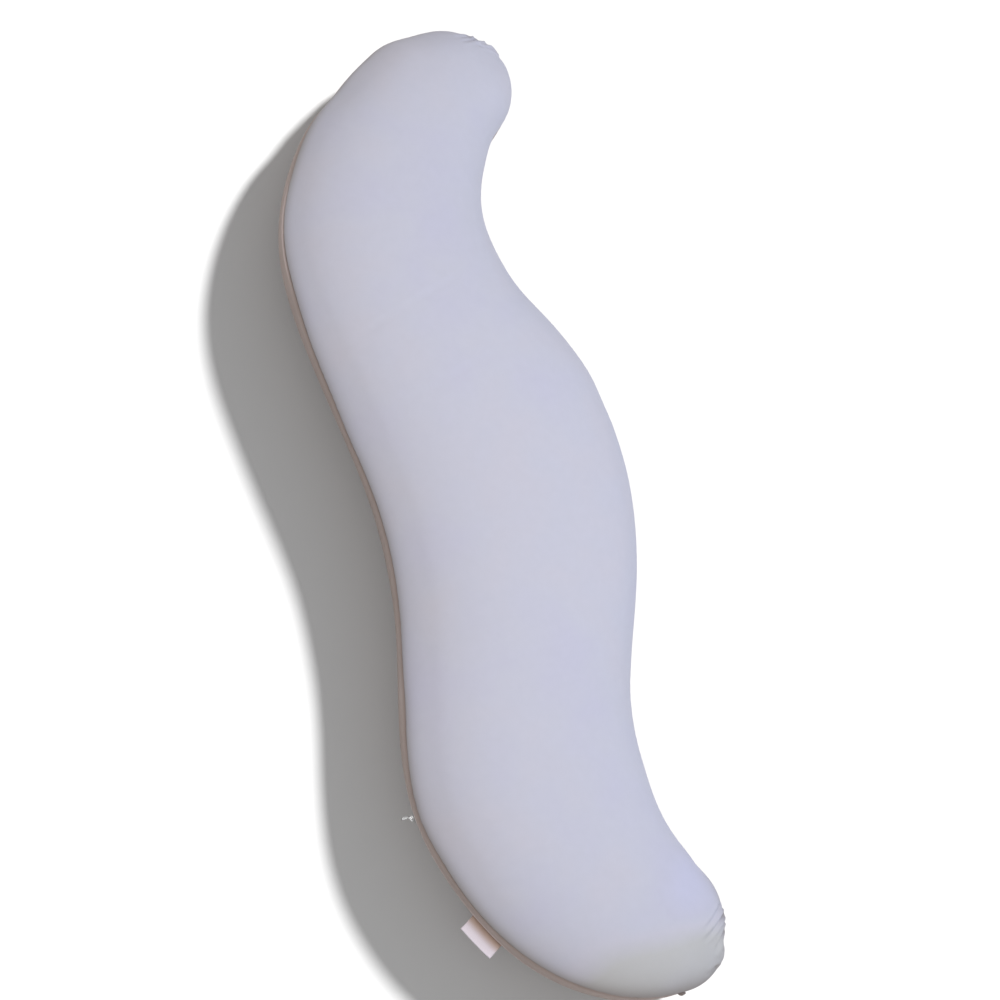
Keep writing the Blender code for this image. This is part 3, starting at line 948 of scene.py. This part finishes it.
def makeLabel(tree, material):  # one strip folded in two, its ends sewn into the flank's seam
    outward = flankFrame(label["place"], label["turn"])[1]
    bm = bmesh.new()
    grid = bmesh.ops.create_grid(
        bm, x_segments=label["alongSteps"], y_segments=label["pathSteps"], size=0.5)
    runs = {}
    radius = (label["gap"] + label["cloth"]) / 2
    straight = label["reach"] - radius
    turn = math.pi * radius
    path = 2 * straight + turn
    for vert in grid["verts"]:
        run = label["width"] * vert.co.x
        went = path * (vert.co.y + 0.5)
        runs[vert] = (run, went)
        seat = flankHit(tree, label["place"], run, flankSeam["height"], label["turn"])[0]
        if went < straight:
            out, lift = went, radius
        elif went < straight + turn:
            bend = (went - straight) / radius
            out, lift = straight + radius * math.sin(bend), radius * math.cos(bend)
        else:
            out, lift = path - went, -radius
        share = out / label["reach"]
        lift *= min(1.0, label["pressed"] + share)
        side = vert.co.x * 2
        lift += label["curl"] * side ** 3 * share - label["droop"] * share ** 2
        lift += label["wave"] * math.sin(label["waveTurns"] * side + label["waveShift"]) * share
        vert.co = seat + outward * (out - label["sewnIn"]) + Vector((0, 0, lift))
    writeRuns(bm, runs)
    bmesh.ops.recalc_face_normals(bm, faces=bm.faces)
    bmesh.ops.solidify(bm, geom=bm.faces[:], thickness=label["cloth"])
    bmesh.ops.recalc_face_normals(bm, faces=bm.faces)
    item = finishedObject("folded_label", bm, material)
    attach(item, "root")
    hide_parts("label")
    print("label made")


zipRun = {
    "place": 1.185,
    "length": 0.060,
    "height": 0.012,
    "cloth": 0.0009,
    "lift": 0.0004,
    "roll": 0.0005,           # how much its inner edges rise
    "slot": 0.0010,           # half the gap that the teeth sit in
    "toothPitch": 0.00135,
    "toothLength": 0.0026,
    "toothRadius": 0.00045,
    "toothOut": 1.2,          # radii
    "toothLean": 0.0003,
}


def makeZipTape(tree, material, toothMaterial):
    outward, forward = flankFrame(zipRun["place"])[1:]
    bm = bmesh.new()
    runs = {}
    for side in (-1, 1):
        strip = bmesh.ops.create_grid(bm, x_segments=40, y_segments=6, size=0.5)
        for vert in strip["verts"]:
            run = zipRun["length"] * vert.co.x
            share = vert.co.y + 0.5
            rise = zipRun["slot"] + (zipRun["height"] / 2 - zipRun["slot"]) * share
            seat = flankHit(tree, zipRun["place"], run, flankSeam["height"] + side * rise)[0]
            vert.co = seat + outward * (zipRun["lift"] + zipRun["roll"] * (1 - share) ** 3)
            runs[vert] = (run, side * rise)
    writeRuns(bm, runs)
    bmesh.ops.solidify(bm, geom=bm.faces[:], thickness=-zipRun["cloth"])
    bmesh.ops.recalc_face_normals(bm, faces=bm.faces)
    item = finishedObject("zip_tape_pair", bm, material)
    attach(item, "root")
    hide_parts("zip_tape")

    teeth = bmesh.new()
    radius = zipRun["toothRadius"]
    for number in range(int(zipRun["length"] / zipRun["toothPitch"])):
        run = -zipRun["length"] / 2 + (number + 0.5) * zipRun["toothPitch"]
        seat = flankHit(tree, zipRun["place"], run, flankSeam["height"])[0]
        lean = zipRun["toothLean"] * (1 if number % 2 else -1)
        ball = bmesh.ops.create_uvsphere(teeth, u_segments=8, v_segments=6, radius=1)
        for vert in ball["verts"]:
            along, deep, rise = vert.co
            vert.co = (seat + outward * (zipRun["lift"] + radius * (zipRun["toothOut"] - deep))
                       + forward * (radius * along)
                       + Vector((0, 0, zipRun["toothLength"] / 2 * rise + lean)))
    bmesh.ops.recalc_face_normals(teeth, faces=teeth.faces)
    row = finishedObject("zip_teeth", teeth, toothMaterial)
    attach(row, "root")
    print("zip made")


def raiseFaces(bm, faces, move):
    raised = bmesh.ops.extrude_face_region(bm, geom=faces)
    top = [item for item in raised["geom"] if isinstance(item, bmesh.types.BMVert)]
    bmesh.ops.translate(bm, verts=top, vec=move)


def softenEdges(bm, sharpFrom, width):  # sharpFrom is in radians
    sharp = [edge for edge in bm.edges if edge.calc_face_angle(0) > sharpFrom]
    bmesh.ops.bevel(bm, geom=sharp, offset=width, segments=2, profile=0.5,
                    affect="EDGES", material=-1)


slider = {
    "place": 1.172,
    "length": 0.013,
    "reach": 0.0085,          # at its mouth
    "tail": 0.20,             # share of it at its tail
    "height": 0.0075,
    "seated": 0.0034,         # from the cloth, over the zip's tape and teeth
    "edge": 0.0003, "sharpFrom": 0.5,
}
Plate = namedtuple("Plate", "near far scale")  # near and far are shares of the reach
sliderPlates = (Plate(0.00, 0.16, 1.00), Plate(0.34, 0.70, 0.94))
sliderOutline = ((-1.0, 0.62), (-0.7, 0.92), (-0.2, 1.0), (0.3, 0.82), (0.75, 0.5), (1.0, 0.24))
Block = namedtuple("Block", "near far start end high")  # start and end: shares of half the length
sliderBlocks = (Block(0.10, 0.40, -0.85, -0.10, 0.20), Block(0.62, 1.00, -0.90, 0.45, 0.26))


def seatFrame(tree, place, height):  # a seat on the left flank: out, along and up from it
    seat, outward = flankHit(tree, place, 0, height)
    forward = Vector((0, 0, 1)).cross(outward).normalized()
    return seat, outward, forward, outward.cross(forward)


def makeSlider(tree, material):  # two plates, the post between them and the bridge that holds the pull
    seat, outward, forward, upward = seatFrame(tree, slider["place"], flankSeam["height"])
    bm = bmesh.new()
    half, high, reach = slider["length"] / 2, slider["height"] / 2, slider["reach"]
    for plate in sliderPlates:
        loop = [(along, wide * side) for side in (1, -1) for along, wide in sliderOutline[::side]]
        verts = [bm.verts.new((reach * plate.near, half * along * plate.scale, high * wide * plate.scale))
                 for along, wide in loop]
        raiseFaces(bm, [bm.faces.new(verts)], (reach * (plate.far - plate.near), 0, 0))
    for block in sliderBlocks:
        cube = bmesh.ops.create_cube(bm, size=1)
        for vert in cube["verts"]:
            deep = block.near + (block.far - block.near) * (vert.co.x + 0.5)
            run = block.start + (block.end - block.start) * (vert.co.y + 0.5)
            vert.co = Vector((reach * deep, half * run, 2 * high * block.high * vert.co.z))
    bmesh.ops.recalc_face_normals(bm, faces=bm.faces)
    softenEdges(bm, slider["sharpFrom"], slider["edge"])
    for vert in bm.verts:
        deep, run, rise = vert.co
        deep *= 1 - (1 - slider["tail"]) * (run / half + 1) / 2
        vert.co = seat + outward * (deep + slider["seated"]) + forward * run + upward * rise
    bmesh.ops.recalc_face_normals(bm, faces=bm.faces)
    item = finishedObject("slider_body", bm, material, smooth=False)
    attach(item, "root")
    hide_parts("zip_slider")
    return item


pull = {
    "run": -0.004,
    "length": 0.011,
    "width": 0.0056,
    "neck": 0.45,             # share of its width where it leaves the slider
    "thickness": 0.0015,
    "border": 0.0010,         # round its sunk middle
    "sunk": 0.00025,
    "droop": 0.0020,
    "seated": 0.0004,
    "edge": 0.0003, "sharpFrom": 0.9,
    "levelFrom": 0.9,         # faces that lie flatter than this are its flats
}


def makePull(tree, material):
    seat = flankHit(tree, slider["place"], pull["run"], flankSeam["height"])[0]
    outward, forward = flankFrame(slider["place"])[1:]
    bm = bmesh.new()
    bmesh.ops.create_circle(bm, cap_ends=True, segments=40, radius=1)
    for vert in bm.verts:
        share = (vert.co.x + 1) / 2
        wide = pull["width"] / 2 * (pull["neck"] + (1 - pull["neck"]) * share)
        vert.co = Vector((pull["length"] * share, wide * vert.co.y, 0))
    raiseFaces(bm, bm.faces[:], (0, 0, pull["thickness"]))
    bmesh.ops.recalc_face_normals(bm, faces=bm.faces)
    flats = [face for face in bm.faces if abs(face.normal.z) > pull["levelFrom"]]
    for face in flats:
        bmesh.ops.inset_individual(bm, faces=[face], thickness=pull["border"], depth=-pull["sunk"])
    softenEdges(bm, pull["sharpFrom"], pull["edge"])
    for vert in bm.verts:
        out, run, rise = vert.co
        share = out / pull["length"]
        vert.co = (seat + outward * (out + pull["seated"]) + forward * run
                   + Vector((0, 0, rise - pull["thickness"] / 2 - pull["droop"] * share ** 2)))
    bmesh.ops.recalc_face_normals(bm, faces=bm.faces)
    item = finishedObject("pull_tab", bm, material)
    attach(item, "root")
    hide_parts("zip_pull")
    print("slider and pull made")


tuck = {
    "place": 1.523,
    "height": 0.092,
    "size": Vector((0.0035, 0.0055, 0.0038)),
    "pleats": 5,
    "pleatDepth": 0.16,
    "twist": 2,               # radians that the pleats turn in each radius
    "pinch": 0.25,            # how much it narrows outwards
    "out": 0.92,              # where its middle sits, as a share of its size
    "run": 0.01,              # metres of cloth for each radius
}


def makeTuck(tree, material):  # the cloth's bunched end where the seam closes
    seat, outward, forward, upward = seatFrame(tree, tuck["place"], tuck["height"])
    bm = bmesh.new()
    ball = bmesh.ops.create_uvsphere(bm, u_segments=60, v_segments=30, radius=1)
    runs = {}
    for vert in ball["verts"]:
        turn = math.atan2(vert.co.z, vert.co.y)
        ring = math.sqrt(max(0.0, 1 - vert.co.x ** 2))
        deep, run, rise = vert.co
        pleat = 1 + tuck["pleatDepth"] * math.sin(tuck["pleats"] * turn + tuck["twist"] * deep) * ring
        pinched = 1 - tuck["pinch"] * max(0.0, deep) ** 2
        runs[vert] = (tuck["run"] * turn, tuck["run"] * deep)
        vert.co = (seat + outward * (tuck["size"].x * (deep + tuck["out"]))
                   + forward * (tuck["size"].y * run * pleat * pinched)
                   + upward * (tuck["size"].z * rise * pleat * pinched))
    writeRuns(bm, runs)
    item = finishedObject("seam_end_tuck", bm, material)
    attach(item, "root")
    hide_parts("seam_tuck")
    print("tuck made")


# Studio: floor, lights and camera

studio = {
    "floorSize": 16.0,
    "floorShade": (0.62, 0.62, 0.62),
    "floorDrop": 0.0004,      # the floor lies this much under the cloth
    "skyShade": (1.0, 1.0, 1.0),
    "skyStrength": 0.38,
    "sunFrom": 29.8,          # degrees round from +X
    "sunHeight": 43.4,        # degrees above the floor
    "sunStrength": 5.9,
    "sunSoftness": 6.0,       # degrees
}
Softbox = namedtuple("Softbox", "name round high distance size watts shade onFloor")
softboxes = (  # round and high are degrees, seen from the cushion
    Softbox("overhead", 0, 90, 3.2, 3.0, 78, (1.0, 1.0, 1.0), False),
    Softbox("right", -15, 45, 3.6, 3.0, 35, (0.455, 0.66, 1.0), False),
    Softbox("floor_fill", 205, 40, 3.6, 3.0, 32, (1.0, 1.0, 1.0), True),
)


def directionFrom(turn, tilt):
    turn, tilt = math.radians(turn), math.radians(tilt)
    return Vector((math.cos(turn) * math.cos(tilt), math.sin(turn) * math.cos(tilt), math.sin(tilt)))


def addLight(name, kind, direction, distance):
    light = bpy.data.lights.new(name, kind)
    lamp = bpy.data.objects.new(name, light)
    bpy.context.scene.collection.objects.link(lamp)
    lamp.rotation_euler = direction.to_track_quat("Z", "Y").to_euler()
    lamp.location = direction * distance
    return light, lamp


def lightOnly(lamp, items):  # the lamp lights these alone, and everything still shades it
    group = bpy.data.collections.new(lamp.name + "_lights")
    for item in items:
        group.objects.link(item)
    lamp.light_linking.receiver_collection = group


def makeFloor():
    bm = bmesh.new()
    bmesh.ops.create_grid(bm, x_segments=1, y_segments=1, size=studio["floorSize"] / 2)
    bmesh.ops.translate(bm, verts=bm.verts, vec=(0, 0, -studio["floorDrop"]))
    material, _, shader = newMaterial("studio_floor", 0.9, specular=0.1)
    shader.inputs["Base Color"].default_value = (*studio["floorShade"], 1)
    floor = finishedObject("floor", bm, material, smooth=False)
    floor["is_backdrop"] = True
    return floor


def makeLights(floor):  # one sun throws the floor's shadow, and softboxes light the cloth evenly
    world = bpy.data.worlds.new("studio_sky")
    bpy.context.scene.world = world
    world.use_nodes = True
    sky = world.node_tree.nodes["Background"]
    sky.inputs["Color"].default_value = (*studio["skyShade"], 1)
    sky.inputs["Strength"].default_value = studio["skyStrength"]

    sun, lamp = addLight("sun", "SUN", directionFrom(studio["sunFrom"], studio["sunHeight"]), 4)
    sun.energy = studio["sunStrength"]
    sun.angle = math.radians(studio["sunSoftness"])
    lightOnly(lamp, [floor])
    for box in softboxes:
        light, lamp = addLight(box.name, "AREA", directionFrom(box.round, box.high), box.distance)
        light.shape = "DISK"
        light.size = box.size
        light.energy = box.watts
        light.color = box.shade
        lightOnly(lamp, [floor] if box.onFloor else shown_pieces())
    bpy.context.scene.view_settings.view_transform = "Standard"
    print("studio made")


view = {
    "tilt": 22.0,             # degrees off straight down
    "bearing": 30.0,          # which way it leans, in the picture
    "roll": 15.0,
    "aim": Vector((0.0, 0.0, 0.09)),
    "distance": 3.2,
    "lens": 81.47,
    "shiftY": 0.015,
}


def makeCamera():
    tilt, bearing, roll = (math.radians(view[key]) for key in ("tilt", "bearing", "roll"))
    right = Vector((math.cos(roll), -math.sin(roll), 0))
    up = Vector((math.sin(roll), math.cos(roll), 0))
    side = -(math.cos(bearing) * right + math.sin(bearing) * up)
    back = math.sin(tilt) * side + math.cos(tilt) * Vector((0, 0, 1))
    upward = (up - up.dot(back) * back).normalized()
    rightward = upward.cross(back)
    data = bpy.data.cameras.new("camera")
    data.sensor_width = 36
    data.lens = view["lens"]
    data.shift_y = view["shiftY"]
    data.clip_start, data.clip_end = 0.05, 60
    camera = bpy.data.objects.new("camera", data)
    bpy.context.scene.collection.objects.link(camera)
    camera.rotation_euler = Matrix((rightward, upward, back)).transposed().to_euler()
    camera.location = view["aim"] + form["middle"] + back * view["distance"]
    bpy.context.scene.camera = camera
    print("camera placed")


makeCamera()
floor = makeFloor()

dressed, ringPlace, shadeMarks = dressedPoints()
dressedNormals = outwardNormals(dressed)
cushionPiece = makeCushion(dressed, dressedNormals, ringPlace, shadeMarks,
                           clothMaterial("lilac_jersey", lilacJersey))
undersidePiece = makeUnderside(dressed, dressedNormals, ringPlace, shadeMarks,
                               clothMaterial("blush_jersey", blushJersey))
flankTree = treeOf(undersidePiece)
makeLabel(flankTree, tapeMaterial("label_satin", labelSatin))
makeZipTape(flankTree, tapeMaterial("zip_twill", zipTwill), tapeMaterial("zip_coil", zipCoil))
sliderPiece = makeSlider(flankTree, metalMaterial("bright_zip_metal", 0.58, 0.70))
makePull(treeOf(sliderPiece), metalMaterial("dull_zip_metal", 0.20, 0.30))
# the tuck's cloth is coloured dark with painted shade
makeTuck(treeOf(cushionPiece), clothMaterial("painted_shade_jersey", paintedShadeJersey))
makeLights(floor)
